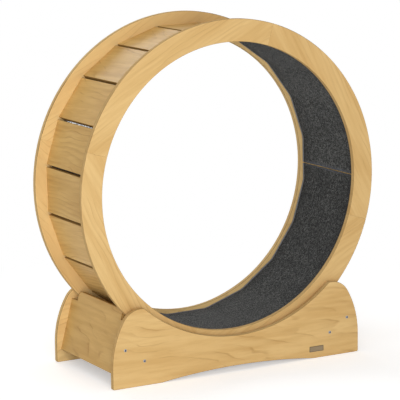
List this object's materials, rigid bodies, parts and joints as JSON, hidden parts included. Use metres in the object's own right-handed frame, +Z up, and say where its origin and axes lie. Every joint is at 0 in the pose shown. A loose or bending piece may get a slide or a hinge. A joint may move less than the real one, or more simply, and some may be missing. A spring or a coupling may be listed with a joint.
{
  "type": "cat exercise wheel",
  "caption": "Free-standing wooden exercise wheel for a cat: a carpet-lined slatted drum between two rims, turning on grooved rollers in a low base with two curved side panels.",
  "frame": {"origin": "on the floor, under the middle of the drum", "axes": "+X along the base, +Y along the drum's axis from the front panel, which has the label plate, to the rear one, +Z up"},
  "size_m": [1, 0.3942, 1.0537],
  "materials": {
    "rim_wood": "clear satin lacquer on laminated wood",
    "slat_wood": "clear satin lacquer on laminated wood",
    "panel_wood": "clear satin lacquer on laminated wood",
    "board_wood": "clear satin lacquer on laminated wood",
    "dowel_wood": "bare beech",
    "carpet": "needled felt carpet, charcoal",
    "roller_nylon": "turned nylon",
    "bearing_steel": "ground steel",
    "zinc_plate": "zinc plated sheet",
    "zinc_fastener": "zinc plated",
    "screw_steel": "dark zinc plated",
    "label": "matt taupe paint"
  },
  "bodies": {
    "base": {"axle_bolts": "zinc_fastener", "axle_nuts": "zinc_fastener", "axle_spacers": "zinc_fastener", "base_dowels": "dowel_wood", "bearing_inner_races": "bearing_steel", "bracket_front_left": "zinc_plate", "bracket_front_right": "zinc_plate", "bracket_rear_left": "zinc_plate", "bracket_rear_right": "zinc_plate", "bracket_screws": "zinc_fastener", "front_panel": "panel_wood", "label_plate": "label", "left_end_board": "board_wood", "left_roller_beam": "board_wood", "panel_screws": "screw_steel", "rear_panel": "panel_wood", "right_end_board": "board_wood", "right_roller_beam": "board_wood"},
    "wheel": {"carpet_lower": "carpet", "carpet_upper": "carpet", "front_rim_lower_left": "rim_wood", "front_rim_lower_right": "rim_wood", "front_rim_upper_left": "rim_wood", "front_rim_upper_right": "rim_wood", "rear_rim_lower_left": "rim_wood", "rear_rim_lower_right": "rim_wood", "rear_rim_upper_left": "rim_wood", "rear_rim_upper_right": "rim_wood", "rim_dowels": "dowel_wood", "slat_01": "slat_wood", "slat_02": "slat_wood", "slat_03": "slat_wood", "slat_04": "slat_wood", "slat_05": "slat_wood", "slat_06": "slat_wood", "slat_07": "slat_wood", "slat_08": "slat_wood", "slat_09": "slat_wood", "slat_10": "slat_wood", "slat_11": "slat_wood", "slat_12": "slat_wood", "slat_13": "slat_wood", "slat_14": "slat_wood", "slat_15": "slat_wood", "slat_16": "slat_wood", "slat_17": "slat_wood", "slat_18": "slat_wood", "slat_19": "slat_wood", "slat_20": "slat_wood", "slat_dowels": "dowel_wood"},
    "roller_front_left": {"roller_front_left": "roller_nylon", "roller_bearings_front_left": "bearing_steel"},
    "roller_front_right": {"roller_front_right": "roller_nylon", "roller_bearings_front_right": "bearing_steel"},
    "roller_rear_left": {"roller_rear_left": "roller_nylon", "roller_bearings_rear_left": "bearing_steel"},
    "roller_rear_right": {"roller_rear_right": "roller_nylon", "roller_bearings_rear_right": "bearing_steel"}
  },
  "joints": [
    {"name": "wheel_spin", "type": "hinge", "parent": "base", "child": "wheel", "pos_m": [0, 0, 0.5537], "axis": [0, 1, 0], "continuous": true},
    {"name": "roller_spin_front_left", "type": "hinge", "parent": "base", "child": "roller_front_left", "pos_m": [-0.2908, -0.1545, 0.12105], "axis": [0, 1, 0], "continuous": true},
    {"name": "roller_spin_front_right", "type": "hinge", "parent": "base", "child": "roller_front_right", "pos_m": [0.2908, -0.1545, 0.12105], "axis": [0, 1, 0], "continuous": true},
    {"name": "roller_spin_rear_left", "type": "hinge", "parent": "base", "child": "roller_rear_left", "pos_m": [-0.2908, 0.1545, 0.12105], "axis": [0, 1, 0], "continuous": true},
    {"name": "roller_spin_rear_right", "type": "hinge", "parent": "base", "child": "roller_rear_right", "pos_m": [0.2908, 0.1545, 0.12105], "axis": [0, 1, 0], "continuous": true}
  ],
  "couplings": [
    {"joint": "roller_spin_front_left", "follows": "wheel_spin", "ratio": -23.809},
    {"joint": "roller_spin_front_right", "follows": "wheel_spin", "ratio": -23.809},
    {"joint": "roller_spin_rear_left", "follows": "wheel_spin", "ratio": -23.809},
    {"joint": "roller_spin_rear_right", "follows": "wheel_spin", "ratio": -23.809}
  ]
}
